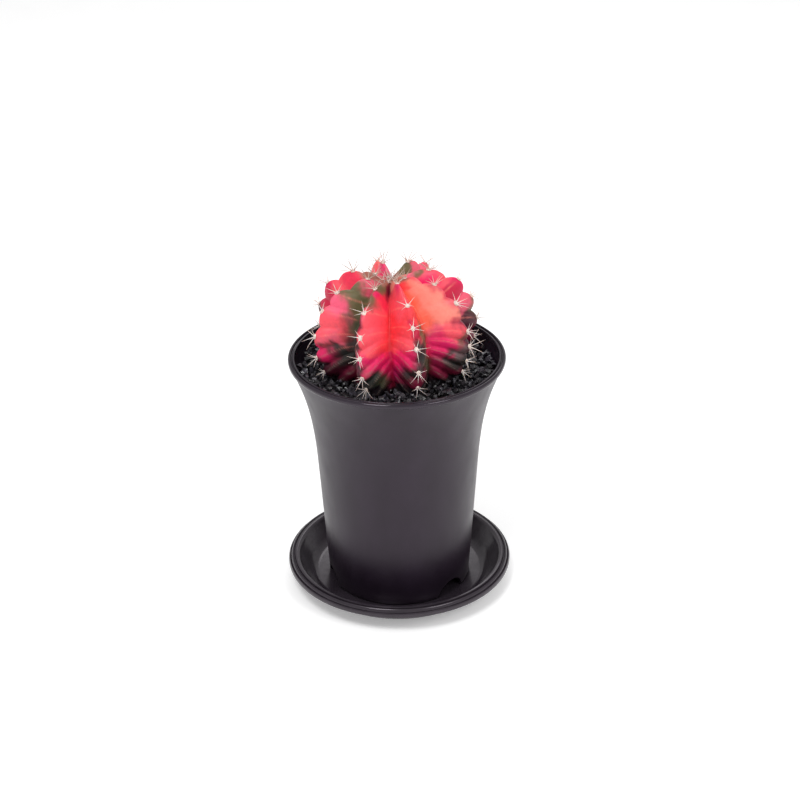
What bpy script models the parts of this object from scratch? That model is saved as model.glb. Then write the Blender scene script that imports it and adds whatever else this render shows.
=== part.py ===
"""Potted round cactus, modelled on a bench as its separate pieces.

A black plastic pot with a flared mouth and three arched drain notches stands in a ridged
saucer. It holds potting mix, a top dressing of crushed stone, and one ribbed globe of a
cactus whose root neck goes down into the mix. Each areole on the ribs carries a star of
spines. Units are metres and +Z is up. The origin is on the table under the pot's axis.
"""

import math
import random

import bmesh
import bpy
import numpy as np
from mathutils import Vector

# Fits
CLEARANCE = 0.0003
SEGMENTS = 56

# Pot
POT_HEIGHT = 0.1039
POT_BASE_RADIUS = 0.0302
RIM_RADIUS = 0.0450
POT_TAPER = 0.067
POT_WALL = 0.0014
FLARE_HEIGHT = 0.0527
LIP_WIDTH = 0.0028
LIP_ROUND = 0.0012
FLOOR_RAISE = 0.0015
FLOOR_THICKNESS = 0.0014
DRAIN_HOLE_RADIUS = 0.0050
NOTCH_RADIUS = 0.0075
NOTCH_SINK = 0.0010
NOTCH_REACH = 0.0070
NOTCH_BEARINGS = (47.0, 167.0, -73.0)

# Saucer
SAUCER_HEIGHT = 0.0114
SAUCER_FLOOR = 0.0020
FOOT_RECESS = 0.0006
FOOT_WIDTH = 0.0030
DISH_MARGIN = 0.0058
SAUCER_WALL_RUN = 0.0121

# Planting
GRAVEL_BELOW_RIM = 0.0065
GRAVEL_DEPTH = 0.0080
GRAVEL_LUMP = 0.0007

# Cactus
PLANT_MARGIN = 0.0074
BODY_HEIGHT = 0.0410
RIB_DEPTH = 0.0128
BODY_SHIFT = (0.0, 0.0026)
BODY_LEAN = (-0.060, 0.025)
ROOT_DEPTH = 0.0260
ROOT_PLAY = 0.0012
AREOLE_RADIUS = 0.0012
SPINE_LENGTH = 0.0044
LOWEST_TILT = 0.30

# Bearing of each rib in degrees, from the front towards the right, and the distance of its
# areoles from the crown, along its crest.
RIBS = (
    (-67.5, (0.0100, 0.0240, 0.0335, 0.0445, 0.0540, 0.0615)),
    (-23.0, (0.0155, 0.0285, 0.0385, 0.0470, 0.0560, 0.0625)),
    (15.5, (0.0115, 0.0260, 0.0355, 0.0440, 0.0540, 0.0625)),
    (60.5, (0.0070, 0.0210, 0.0325, 0.0450, 0.0515, 0.0585, 0.0640)),
    (101.0, (0.0165, 0.0300, 0.0395, 0.0495, 0.0580, 0.0645)),
    (147.0, (0.0140, 0.0280, 0.0360, 0.0455, 0.0550, 0.0615)),
    (193.0, (0.0125, 0.0250, 0.0350, 0.0445, 0.0540, 0.0610)),
    (245.0, (0.0070, 0.0170, 0.0310, 0.0420, 0.0520, 0.0605)),
)

# Places down the body's stations: where the gravel meets it, and where the socket begins
GRAVEL_STATION = 8.25
NECK_STATION = 10.0
BODY_RINGS = 24

# Worked out from the sizes above
RIM_INNER_RADIUS = RIM_RADIUS - LIP_WIDTH
BODY_RADIUS = RIM_INNER_RADIUS - PLANT_MARGIN
POT_BASE_Z = SAUCER_FLOOR + CLEARANCE
RIM_Z = POT_BASE_Z + POT_HEIGHT
FLARE_TOP = POT_HEIGHT - LIP_ROUND
FLARE_START = FLARE_TOP - FLARE_HEIGHT
FLOOR_TOP = FLOOR_RAISE + FLOOR_THICKNESS
SAUCER_FLOOR_RADIUS = POT_BASE_RADIUS + DISH_MARGIN
SAUCER_RADIUS = SAUCER_FLOOR_RADIUS + SAUCER_WALL_RUN
GRAVEL_Z = RIM_Z - GRAVEL_BELOW_RIM
GRAVEL_BOTTOM_Z = GRAVEL_Z - GRAVEL_DEPTH
SOIL_TOP_Z = GRAVEL_BOTTOM_Z - CLEARANCE


def clear_scene():
    for obj in list(bpy.data.objects):
        bpy.data.objects.remove(obj)


def new_collection(name):
    collection = bpy.data.collections.new(name)
    bpy.context.scene.collection.children.link(collection)
    return collection


def material(name, colour, roughness):
    made = bpy.data.materials.new(name)
    made.use_nodes = True
    shader = made.node_tree.nodes["Principled BSDF"]
    shader.inputs["Base Color"].default_value = (*colour, 1.0)
    shader.inputs["Roughness"].default_value = roughness
    return made


def add_object(name, mesh, collection, finish=None):
    obj = bpy.data.objects.new(name, mesh)
    collection.objects.link(obj)
    if finish:
        mesh.materials.clear()
        mesh.materials.append(finish)
    return obj


def turned(name, profile, closed, collection, finish=None):
    """A profile of (radius, height) points turned about +Z. It runs down its outer side."""
    edges = [(i, i + 1) for i in range(len(profile) - 1)]
    if closed:
        edges.append((len(profile) - 1, 0))
    mesh = bpy.data.meshes.new(name)
    mesh.from_pydata([(r, 0.0, z) for r, z in profile], edges, [])
    obj = add_object(name, mesh, collection, finish)
    screw = obj.modifiers.new("turn", "SCREW")
    screw.axis = "Z"
    screw.steps = SEGMENTS
    screw.render_steps = SEGMENTS
    screw.use_merge_vertices = True
    screw.merge_threshold = 0.00001
    screw.use_smooth_shade = False
    return obj


def cut(obj, cutter):
    boolean = obj.modifiers.new(cutter.name, "BOOLEAN")
    boolean.operation = "DIFFERENCE"
    boolean.solver = "EXACT"
    boolean.object = cutter


def hide_cutter(obj):
    obj.hide_render = True
    obj.display_type = "WIRE"


def on_bearing(bearing, radius, height):
    """A point at a bearing in degrees, measured from the front (-Y) towards the right (+X)."""
    turn = math.radians(bearing)
    return Vector((radius * math.sin(turn), -radius * math.cos(turn), height))


# Pot


def pot_outer_radius(height):
    """Radius of the pot's outside at a height above its base: a taper, then a cubic flare."""
    flare = RIM_RADIUS - POT_BASE_RADIUS - POT_TAPER * FLARE_TOP
    rise = max(0.0, (height - FLARE_START) / FLARE_HEIGHT)
    return POT_BASE_RADIUS + POT_TAPER * height + flare * rise**3


def pot_inner_radius(height):
    return min(pot_outer_radius(height) - POT_WALL, RIM_INNER_RADIUS)


def clear_of_wall(height):
    """Largest radius that keeps clear of the pot's inner wall, which is flat between its
    stations and between its segments."""
    stations = pot_stations(FLOOR_TOP, FLARE_TOP)
    radii = [pot_inner_radius(h) for h in stations]
    wall = float(np.interp(height, stations, radii))
    return wall * math.cos(math.pi / SEGMENTS) - CLEARANCE


def pot_stations(lowest, highest):
    """Heights up the wall, from lowest to highest, spaced for the flare."""
    heights = [lowest, 0.5 * (lowest + FLARE_START)]
    steps = 8
    for i in range(steps + 1):
        heights.append(FLARE_START + FLARE_HEIGHT * i / steps)
    return [h for h in heights if h < highest - CLEARANCE] + [highest]


def pot_profile():
    profile = []
    for i in range(4):
        turn = 0.5 * math.pi * i / 3
        radius = RIM_RADIUS - LIP_ROUND * (1.0 - math.sin(turn))
        profile.append((radius, POT_HEIGHT - LIP_ROUND * (1.0 - math.cos(turn))))
    for height in reversed(pot_stations(0.0, FLARE_TOP)[:-1]):
        profile.append((pot_outer_radius(height), height))
    skirt = POT_BASE_RADIUS - POT_WALL
    profile.append((skirt, 0.0))
    profile.append((skirt, FLOOR_RAISE))
    profile.append((DRAIN_HOLE_RADIUS, FLOOR_RAISE))
    profile.append((DRAIN_HOLE_RADIUS, FLOOR_TOP))
    for height in pot_stations(FLOOR_TOP, FLARE_TOP):
        profile.append((pot_inner_radius(height), height))
    profile.append((RIM_INNER_RADIUS + 0.25 * LIP_WIDTH, POT_HEIGHT))
    return [(r, POT_BASE_Z + z) for r, z in profile]


def notch_cutter(name, bearing, collection):
    """A round bar lying along the radius, which cuts an arch out of the pot's foot."""
    mesh = bpy.data.meshes.new(name)
    bar = bmesh.new()
    length = 2.0 * NOTCH_REACH + POT_WALL
    bmesh.ops.create_cone(
        bar,
        cap_ends=True,
        segments=24,
        radius1=NOTCH_RADIUS,
        radius2=NOTCH_RADIUS,
        depth=length,
    )
    bar.to_mesh(mesh)
    bar.free()
    cutter = add_object(name, mesh, collection)
    cutter.rotation_euler = (math.radians(90.0), 0.0, math.radians(bearing))
    cutter.location = on_bearing(bearing, POT_BASE_RADIUS, POT_BASE_Z - NOTCH_SINK)
    hide_cutter(cutter)
    return cutter


def build_pot(parts, cutters):
    finish = material("pot_plastic", (0.028, 0.024, 0.027), 0.42)
    pot = turned("pot", pot_profile(), True, parts, finish)
    for i, bearing in enumerate(NOTCH_BEARINGS):
        cut(pot, notch_cutter(f"drain_notch_{i + 1}", bearing, cutters))


# Saucer


def saucer_profile():
    """Floor, dish wall, three rounded ridges, skirt, underside and foot ring."""
    top = SAUCER_HEIGHT
    edge = SAUCER_RADIUS
    floor = SAUCER_FLOOR_RADIUS
    return [
        (0.0, SAUCER_FLOOR),
        (floor - 0.0010, SAUCER_FLOOR),
        (floor + 0.0008, SAUCER_FLOOR + 0.0006),
        (floor + 0.0030, SAUCER_FLOOR + 0.0030),
        (edge - 0.0058, top - 0.0022),
        (edge - 0.0048, top - 0.0006),
        (edge - 0.0042, top - 0.0001),
        (edge - 0.0034, top),
        (edge - 0.0025, top - 0.0006),
        (edge - 0.0018, top - 0.0005),
        (edge - 0.0011, top - 0.0004),
        (edge - 0.0006, top - 0.0013),
        (edge - 0.0001, top - 0.0021),
        (edge, top - 0.0030),
        (edge - 0.0001, top - 0.0036),
        (edge - 0.0013, top - 0.0036),
        (edge - 0.0028, top - 0.0022),
        (edge - 0.0046, top - 0.0026),
        (edge - 0.0062, top - 0.0048),
        (floor + 0.0036, 0.0024),
        (floor + 0.0016, 0.0),
        (floor + 0.0016 - FOOT_WIDTH, 0.0),
        (floor + 0.0010 - FOOT_WIDTH, FOOT_RECESS),
        (0.0, FOOT_RECESS),
    ]


def build_saucer(parts):
    finish = material("saucer_plastic", (0.012, 0.011, 0.012), 0.18)
    turned("saucer", saucer_profile(), False, parts, finish)


# Cactus


def body_stations():
    """(crest radius, crest height, valley radius, valley height) from crown to root tip.

    Heights are measured from the gravel. The crest and the valley of a rib start together
    at the sunken crown, and end together in the round root neck.
    """
    radius = BODY_RADIUS
    valley = BODY_RADIUS - RIB_DEPTH
    top = BODY_HEIGHT
    root = ROOT_DEPTH
    neck = 0.20 * radius
    return [
        (0.0, 0.930 * top, 0.0, 0.930 * top),
        (0.17 * radius, 0.975 * top, 0.18 * valley, 0.905 * top),
        (0.36 * radius, top, 0.38 * valley, 0.850 * top),
        (0.56 * radius, 0.957 * top, 0.60 * valley, 0.760 * top),
        (0.74 * radius, 0.885 * top, 0.80 * valley, 0.645 * top),
        (0.89 * radius, 0.725 * top, 0.94 * valley, 0.510 * top),
        (0.98 * radius, 0.515 * top, valley, 0.370 * top),
        (0.985 * radius, 0.300 * top, valley, 0.210 * top),
        (0.91 * radius, 0.120 * top, 0.96 * valley, 0.060 * top),
        (0.79 * radius, -0.04 * root, 0.87 * valley, -0.10 * root),
        (0.60 * radius, -0.25 * root, 0.72 * valley, -0.27 * root),
        (0.38 * radius, -0.40 * root, 0.50 * valley, -0.42 * root),
        (neck * 1.2, -0.60 * root, neck * 1.2, -0.60 * root),
        (neck, -0.88 * root, neck, -0.88 * root),
        (0.0, -root, 0.0, -root),
    ]


def smooth_row(rows, place):
    """Catmull-Rom interpolation between rows at a place from 0 to the last row's number."""
    last = len(rows) - 1
    i = min(int(place), last - 1)
    f = place - i
    p0, p1, p2, p3 = (
        np.array(rows[min(max(j, 0), last)]) for j in (i - 1, i, i + 1, i + 2)
    )
    return 0.5 * (
        2.0 * p1
        + (p2 - p0) * f
        + (2.0 * p0 - 5.0 * p1 + 4.0 * p2 - p3) * f**2
        + (3.0 * p1 - p0 - 3.0 * p2 + p3) * f**3
    )


def placed(bearing, radius, height):
    """A point of the body, leaned over and moved to where the plant stands in the gravel.

    The lean is a small rotation, which fades out below the gravel so that the root neck
    stays upright in its socket.
    """
    point = on_bearing(bearing, radius, height)
    share = min(1.0, max(0.0, 1.0 + height / GRAVEL_DEPTH))
    lean_x = BODY_LEAN[0] * share
    lean_y = BODY_LEAN[1] * share
    drop = lean_x * point.x + lean_y * point.y
    point.x += BODY_SHIFT[0] + lean_x * height
    point.y += BODY_SHIFT[1] + lean_y * height
    point.z += GRAVEL_Z - drop
    return point


def body_point(place, around):
    """A point at a station down the body and at a rib number round it.

    A flank is flat between the crest of its rib and the valley halfway to the next rib.
    """
    crest_r, crest_z, valley_r, valley_z = smooth_row(body_stations(), place)
    rib = int(math.floor(around)) % len(RIBS)
    f = around - math.floor(around)
    start = RIBS[rib][0]
    end = RIBS[(rib + 1) % len(RIBS)][0]
    if end < start:
        end += 360.0
    valley = placed(0.5 * (start + end), valley_r, valley_z)
    crest = placed(start if f < 0.5 else end, crest_r, crest_z)
    from_crest = 2.0 * min(f, 1.0 - f)
    return crest.lerp(valley, from_crest)


def ring_place(number):
    """Place down the stations of one ring of the body's mesh."""
    return number * (len(body_stations()) - 1) / BODY_RINGS


def place_of_depth(depth):
    """Place on the crest that lies at a depth under the gravel's surface."""
    stations = body_stations()
    places = np.linspace(GRAVEL_STATION, len(stations) - 1, 200)
    depths = [-smooth_row(stations, place)[1] for place in places]
    return float(np.interp(depth, depths, places))


def build_cactus(parts):
    per_rib = 8
    mesh = bpy.data.meshes.new("cactus_body")
    globe = bmesh.new()
    bmesh.ops.create_uvsphere(
        globe, u_segments=per_rib * len(RIBS), v_segments=BODY_RINGS, radius=1.0
    )
    for vert in globe.verts:
        down = math.acos(max(-1.0, min(1.0, vert.co.z))) / math.pi
        turn = math.atan2(vert.co.x, -vert.co.y) / (2.0 * math.pi)
        around = round((turn % 1.0) * per_rib * len(RIBS)) / per_rib
        vert.co = body_point(ring_place(round(down * BODY_RINGS)), around)
    globe.to_mesh(mesh)
    globe.free()
    mesh.shade_smooth()
    finish = material("cactus_skin", (0.80, 0.09, 0.13), 0.45)
    add_object("cactus_body", mesh, parts, finish)


def crest_at(length):
    """Crest station whose distance from the crown along the crest is the given length."""
    stations = body_stations()
    walked = 0.0
    step = 0.05
    place = 0.0
    here = smooth_row(stations, 0.0)
    while walked < length:
        place += step
        there = smooth_row(stations, place)
        walked += math.hypot(there[0] - here[0], there[1] - here[1])
        here = there
    return place


def spine_star_mesh():
    """A woolly pad with five spines raised from the faces round its top."""
    mesh = bpy.data.meshes.new("spine_star")
    pad = bmesh.new()
    bmesh.ops.create_icosphere(pad, subdivisions=1, radius=AREOLE_RADIUS)
    raised = [face for face in pad.faces if face.normal.z > 0.7]
    bmesh.ops.inset_individual(pad, faces=raised, thickness=0.32 * AREOLE_RADIUS)
    normals = [face.normal.copy() for face in raised]
    tips = bmesh.ops.poke(pad, faces=raised)["verts"]
    for tip, normal in zip(tips, normals):
        tip.co += normal * SPINE_LENGTH
    pad.to_mesh(mesh)
    pad.free()
    return mesh


def build_spines(parts):
    """One star of spines on each areole, held just off the crest."""
    finish = material("spine", (0.80, 0.68, 0.48), 0.5)
    star = spine_star_mesh()
    nudge = 0.1
    for rib, (bearing, areoles) in enumerate(RIBS):
        for row, length in enumerate(areoles):
            place = crest_at(length)
            crest = body_point(place, float(rib))
            along = body_point(place + nudge, float(rib)) - crest
            side = on_bearing(bearing + 90.0, 1.0, 0.0)
            outward = along.cross(side).normalized()
            centre = crest + outward * (AREOLE_RADIUS + CLEARANCE)
            outward.z = max(outward.z, LOWEST_TILT)
            outward.normalize()
            name = f"spines_rib{rib + 1}_{row + 1}"
            obj = add_object(name, star, parts, finish)
            obj.rotation_mode = "QUATERNION"
            obj.rotation_quaternion = outward.to_track_quat("Z", "Y")
            obj.location = centre


# Planting


def build_soil(parts, cutters):
    """Potting mix that fills the pot up to the stones, with a socket for the root neck."""
    low = FLOOR_TOP + CLEARANCE
    high = SOIL_TOP_Z - POT_BASE_Z
    wall = [(clear_of_wall(h), h) for h in pot_stations(low, high)]
    profile = [(0.0, high)] + wall[::-1] + [(0.0, low)]
    profile = [(r, POT_BASE_Z + z) for r, z in profile]
    finish = material("potting_mix", (0.030, 0.018, 0.012), 0.95)
    soil = turned("potting_mix", profile, False, parts, finish)

    stations = body_stations()
    neck = []
    for step in range(13):
        row = smooth_row(stations, NECK_STATION + 0.25 * step)
        neck.append((float(max(row[0], row[2])) + ROOT_PLAY, float(row[1])))
    deepest = -ROOT_DEPTH - ROOT_PLAY
    rim = (neck[0][0] + CLEARANCE, 0.0)
    outline = [(0.0, 0.0), rim] + neck + [(neck[-1][0], deepest), (0.0, deepest)]
    socket = turned("root_socket", outline, False, cutters)
    socket.location = (BODY_SHIFT[0], BODY_SHIFT[1], GRAVEL_Z)
    hide_cutter(socket)
    cut(soil, socket)


def ring_mesh(name, loops):
    """A closed ring of quads through loops of equal count, the last joined to the first."""
    count = len(loops[0])
    mesh = bpy.data.meshes.new(name)
    verts = [point for loop in loops for point in loop]
    faces = []
    for i in range(len(loops)):
        j = (i + 1) % len(loops)
        for k in range(count):
            m = (k + 1) % count
            quad = (i * count + k, j * count + k, j * count + m, i * count + m)
            faces.append(quad)
    mesh.from_pydata(verts, [], faces)
    return mesh


def beside_body(place, around, gap):
    """A point a gap outside the body, straight out from the body's own axis."""
    point = body_point(place, around)
    away = Vector((point.x - BODY_SHIFT[0], point.y - BODY_SHIFT[1], 0.0))
    return point + away.normalized() * gap


def build_gravel(parts):
    """The top dressing: a lumpy ring between the ribbed body and the pot's wall."""
    chance = random.Random(7)
    rows = 6
    around = [k / 12.0 for k in range(12 * len(RIBS))]
    inner = [beside_body(GRAVEL_STATION, u, 2.0 * CLEARANCE) for u in around]
    outer_bearing = [math.degrees(math.atan2(p.x, -p.y)) for p in inner]

    foot = place_of_depth(GRAVEL_DEPTH)
    bottom = [beside_body(foot, u, 4.0 * CLEARANCE) for u in around]
    for point in bottom:
        point.z = GRAVEL_BOTTOM_Z
    loops = [bottom]
    places = [ring_place(k) for k in range(BODY_RINGS)]
    for place in reversed([p for p in places if GRAVEL_STATION < p < foot - 0.2]):
        loops.append([beside_body(place, u, 2.0 * CLEARANCE) for u in around])

    top_wall = clear_of_wall(GRAVEL_Z - GRAVEL_LUMP - POT_BASE_Z)
    for row in range(rows + 1):
        loop = []
        for point, bearing in zip(inner, outer_bearing):
            start = Vector((point.x, point.y, GRAVEL_Z))
            end = on_bearing(bearing, top_wall, GRAVEL_Z)
            lump = Vector((0.0, 0.0, chance.uniform(-GRAVEL_LUMP, GRAVEL_LUMP)))
            loop.append(start.lerp(end, row / rows) + lump)
        loops.append(loop)

    levels = [h + POT_BASE_Z for h in pot_stations(FLOOR_TOP, FLARE_TOP)]
    bed = GRAVEL_Z - 2.0 * GRAVEL_LUMP
    levels = [z for z in levels if GRAVEL_BOTTOM_Z < z < bed] + [GRAVEL_BOTTOM_Z]
    for height in sorted(levels, reverse=True):
        wall = clear_of_wall(height - POT_BASE_Z)
        loops.append([on_bearing(b, wall, height) for b in outer_bearing])
    finish = material("black_stone", (0.020, 0.020, 0.023), 0.55)
    add_object("gravel_dressing", ring_mesh("gravel_dressing", loops), parts, finish)


def main():
    clear_scene()
    parts = new_collection("potted_round_cactus")
    cutters = new_collection("cutters")
    cutters.hide_render = True
    build_saucer(parts)
    build_pot(parts, cutters)
    build_soil(parts, cutters)
    build_gravel(parts)
    build_cactus(parts)
    build_spines(parts)


main()
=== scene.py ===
"""Looks of the potted round cactus: a pink, coral and dark green ribbed globe in a black pot.

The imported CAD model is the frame. Finely turned plastic, a ribbed body with chins, creases and
mottled colour, curved spines with wool, and loose angular stones stand for its plain solids.
Units are metres, angles are degrees, and distances along a rib from the crown are millimetres.
"""

import math
import random

import bmesh
import bpy
import numpy as np
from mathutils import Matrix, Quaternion, Vector, kdtree, noise


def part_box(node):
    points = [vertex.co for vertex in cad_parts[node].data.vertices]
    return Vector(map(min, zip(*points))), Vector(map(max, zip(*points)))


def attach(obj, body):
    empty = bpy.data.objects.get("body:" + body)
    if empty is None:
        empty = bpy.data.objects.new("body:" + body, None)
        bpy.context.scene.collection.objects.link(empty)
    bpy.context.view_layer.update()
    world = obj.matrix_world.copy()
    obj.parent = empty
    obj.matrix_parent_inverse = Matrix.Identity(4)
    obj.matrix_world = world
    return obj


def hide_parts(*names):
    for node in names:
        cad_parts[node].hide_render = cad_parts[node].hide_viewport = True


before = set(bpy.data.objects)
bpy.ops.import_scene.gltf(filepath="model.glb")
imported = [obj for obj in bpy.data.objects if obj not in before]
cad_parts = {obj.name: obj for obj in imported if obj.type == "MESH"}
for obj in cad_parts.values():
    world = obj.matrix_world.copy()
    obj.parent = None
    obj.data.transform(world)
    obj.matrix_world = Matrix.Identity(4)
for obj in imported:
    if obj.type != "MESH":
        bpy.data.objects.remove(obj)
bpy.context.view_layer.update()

MM = 0.001
BODY = "root"

# Places taken from the frame
POT_LOW, POT_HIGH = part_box("pot")
SAUCER_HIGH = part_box("saucer")[1]
POT_BASE_Z = POT_LOW.z
RIM_Z = POT_HIGH.z
POT_HEIGHT = RIM_Z - POT_BASE_Z
RIM_RADIUS = POT_HIGH.x
SAUCER_RADIUS = SAUCER_HIGH.x
SAUCER_HEIGHT = SAUCER_HIGH.z
GRAVEL_BELOW_RIM = 6.5 * MM
GRAVEL_Z = RIM_Z - GRAVEL_BELOW_RIM
SOIL_TOP_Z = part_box("potting_mix")[1].z

# Pot
POT_BASE_RADIUS = 30.2 * MM
POT_TAPER = 0.067
POT_WALL = 1.4 * MM
FLARE_HEIGHT = 52.7 * MM
LIP_WIDTH = 2.8 * MM
LIP_ROUND = 1.0 * MM
LIP_STEP = 0.30 * MM
GROOVE_INSET = 1.55 * MM
FLOOR_RAISE = 1.5 * MM
FLOOR_TOP = 2.9 * MM
DRAIN_HOLE_RADIUS = 5.0 * MM
NOTCH_RADIUS = 7.5 * MM
NOTCH_SINK = 1.0 * MM
NOTCH_REACH = 7.0 * MM
NOTCH_BEARINGS = (47.0, 167.0, -73.0)
TURN_STEPS = 224

# Saucer
SAUCER_FLOOR = 2.0 * MM
SAUCER_FLOOR_RADIUS = POT_BASE_RADIUS + 5.8 * MM
FOOT_RECESS = 0.6 * MM
FOOT_WIDTH = 3.0 * MM
# Points of the ridges and the skirt: millimetres outward from the edge, and down from the top
SAUCER_RIM = (
    (-5.8, 2.2), (-5.2, 1.3), (-4.8, 0.6), (-4.2, 0.1), (-3.4, 0.0), (-2.9, 0.2), (-2.65, 1.0),
    (-2.35, 1.1), (-2.15, 0.5), (-1.75, 0.3), (-1.35, 0.5), (-1.15, 1.3), (-0.95, 1.85),
    (-0.75, 1.6), (-0.35, 1.55), (-0.05, 2.1), (0.0, 3.0), (-0.1, 3.5), (-0.7, 3.7), (-1.3, 3.4),
    (-2.8, 2.2), (-4.6, 2.6), (-6.2, 4.8),
)

# Cactus body
BODY_RADIUS = 34.8 * MM
BODY_HEIGHT = 41.0 * MM
RIB_DEPTH = 12.8 * MM
ROOT_DEPTH = 26.0 * MM
BODY_SHIFT = (0.0, 2.6 * MM)
BODY_LEAN = (-0.060, 0.025)
LEAN_FADE = 8.0 * MM
# Bearing of each rib, and how far its areoles are from the crown in millimetres
RIBS = (
    (-67.5, (10.0, 24.0, 33.5, 44.5, 54.0, 61.5)),
    (-23.0, (15.5, 28.5, 38.5, 47.0, 56.0, 62.5)),
    (15.5, (11.5, 26.0, 35.5, 44.0, 54.0, 62.5)),
    (60.5, (7.0, 21.0, 32.5, 45.0, 51.5, 58.5, 64.0)),
    (101.0, (16.5, 30.0, 39.5, 49.5, 58.0, 64.5)),
    (147.0, (14.0, 28.0, 36.0, 45.5, 55.0, 61.5)),
    (193.0, (12.5, 25.0, 35.0, 44.5, 54.0, 61.0)),
    (245.0, (7.0, 17.0, 31.0, 42.0, 52.0, 60.5)),
)
RIB_BEARINGS = np.array([bearing for bearing, areoles in RIBS])
COLUMNS_PER_RIB = 56
ROWS_ABOVE = 172
ROWS_BELOW = 14
BURIED_STATION = 9.2
LAST_STATION = 14.0
VALLEY_ROUND = 0.55
CHIN_HEIGHT = 2.3 * MM
CHIN_DROP = 0.12
FOLD_HEIGHT = 1.0 * MM
WRINKLE_HEIGHT = 0.30 * MM
DENT_DEPTH = 0.32 * MM

# Gravel
STONE_SIZES = (0.9 * MM, 2.2 * MM)
STONE_COUNT = 2200
STONE_TRIES = 14
STONE_MISSES = 60
STONE_TOP = 1.6 * MM
STONE_BED = 2.0 * MM
STONE_NEAREST = 0.016
STONE_STAND_OFF = 0.6
NEAR_GRAVEL = 0.013
STONE_WALL_GAP = 0.2 * MM
STONE_NESTLE = 0.84
STONE_CORNERS = 11
STONE_TONES = (0.008, 0.034)
PALE_STONES = 0.20
PALE_GAIN = 2.2

# Spines and wool
SPINE_WIDTH = 0.30 * MM
WOOL_HAIR_WIDTH = 0.10 * MM
WOOL_HAIRS = 26
CROWN_AREOLES = 10
GOLDEN_ANGLE = 2.399963

# Root's socket in the mix
NECK_RADIUS = 9.4 * MM
MOUTH_RADIUS = 17.7 * MM
MOUTH_DEPTH = 6.7 * MM

# Camera
CAMERA_TARGET = Vector((1.08 * MM, 0.0, 84.67 * MM))
CAMERA_DISTANCE = 788.8 * MM
CAMERA_ELEVATION = 28.05
CAMERA_ROLL = -0.67
LENS_MM = 85.0


# Helpers


def smooth(low, high, value):
    """0 at low, 1 at high, and an even curve between."""
    share = np.clip((value - low) / (high - low), 0.0, 1.0)
    return share * share * (3.0 - 2.0 * share)


def linear(colour):
    """A colour of 0 to 255 steps as the eye sees it, in the linear values a shader takes."""
    share = np.asarray(colour, float) / 255.0
    return np.where(share <= 0.04045, share / 12.92, ((share + 0.055) / 1.055) ** 2.4)


def add_object(name, mesh, finish):
    obj = bpy.data.objects.new(name, mesh)
    bpy.context.scene.collection.objects.link(obj)
    mesh.materials.append(finish)
    return obj


def declare(piece, slot, *nodes):
    """The piece rides the frame's one body and stands for CAD nodes, which it hides. The slot is not
    used.
    """
    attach(piece, BODY)
    if nodes:
        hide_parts(*nodes)


def on_bearing(bearing, radius, height):
    """A point at a bearing in degrees, measured from the front (-Y) towards the right (+X)."""
    turn = math.radians(bearing)
    return Vector((radius * math.sin(turn), -radius * math.cos(turn), height))


def scatter(points, scale, seed):
    """Smooth noise from -1 to 1 at each row of an array of points."""
    offset = Vector((seed * 7.13, seed * 3.71, seed * 5.37))
    return np.array([noise.noise(Vector(p) * scale + offset) for p in points])


def paint(mesh, name, colours):
    """Stores one linear colour per vertex."""
    layer = mesh.color_attributes.new(name, "FLOAT_COLOR", "POINT")
    rgba = np.ones((len(mesh.vertices), 4), np.float32)
    rgba[:, :3] = colours
    layer.data.foreach_set("color", rgba.ravel())


def smooth_mesh(name, verts, faces):
    mesh = bpy.data.meshes.new(name)
    mesh.from_pydata(verts, [], faces)
    mesh.shade_smooth()
    return mesh


def band(here, there, columns):
    """Faces between two closed rows of vertices, given the first vertex of each."""
    corners = [(k, (k + 1) % columns) for k in range(columns)]
    return [(here + k, there + k, there + m, here + m) for k, m in corners]


# Materials


def new_material(name, colour, roughness):
    made = bpy.data.materials.new(name)
    made.use_nodes = True
    shader = made.node_tree.nodes["Principled BSDF"]
    shader.inputs["Base Color"].default_value = (*colour, 1.0)
    shader.inputs["Roughness"].default_value = roughness
    return made, made.node_tree, shader


def feed(shader, name, value):
    shader.id_data.links.new(value, shader.inputs[name])


def noise_node(tree, scale, detail, stretch=(1.0, 1.0, 1.0)):
    """Noise in the object's own metres, squeezed or stretched along its axes."""
    coordinates = tree.nodes.new("ShaderNodeTexCoord")
    mapping = tree.nodes.new("ShaderNodeMapping")
    mapping.inputs["Scale"].default_value = stretch
    field = tree.nodes.new("ShaderNodeTexNoise")
    field.inputs["Scale"].default_value = scale
    field.inputs["Detail"].default_value = detail
    tree.links.new(coordinates.outputs["Object"], mapping.inputs["Vector"])
    tree.links.new(mapping.outputs["Vector"], field.inputs["Vector"])
    return field.outputs["Fac"]


def ramp_node(tree, factor, stops):
    """Colours at places between 0 and 1."""
    ramp = tree.nodes.new("ShaderNodeValToRGB")
    elements = ramp.color_ramp.elements
    while len(elements) < len(stops):
        elements.new(0.5)
    for element, (place, colour) in zip(elements, stops):
        element.position = place
        element.color = (*colour, 1.0)
    tree.links.new(factor, ramp.inputs["Fac"])
    return ramp.outputs["Color"]


def grey(value):
    return (value, value, value)


def range_node(tree, value, low, high, at_low, at_high):
    """Goes from at_low to at_high while the value goes from low to high."""
    change = tree.nodes.new("ShaderNodeMapRange")
    change.inputs["From Min"].default_value = low
    change.inputs["From Max"].default_value = high
    change.inputs["To Min"].default_value = at_low
    change.inputs["To Max"].default_value = at_high
    tree.links.new(value, change.inputs["Value"])
    return change.outputs["Result"]


def spread_node(tree, factor, low, high):
    """Stretches noise, which stays between 0.25 and 0.75, to run from low to high."""
    return range_node(tree, factor, 0.25, 0.75, low, high)


def by_height(tree, low, high, at_low, at_high):
    """A value that changes between two heights above the floor."""
    coordinates = tree.nodes.new("ShaderNodeTexCoord")
    split = tree.nodes.new("ShaderNodeSeparateXYZ")
    tree.links.new(coordinates.outputs["Object"], split.inputs["Vector"])
    return range_node(tree, split.outputs["Z"], low, high, at_low, at_high)


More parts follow.
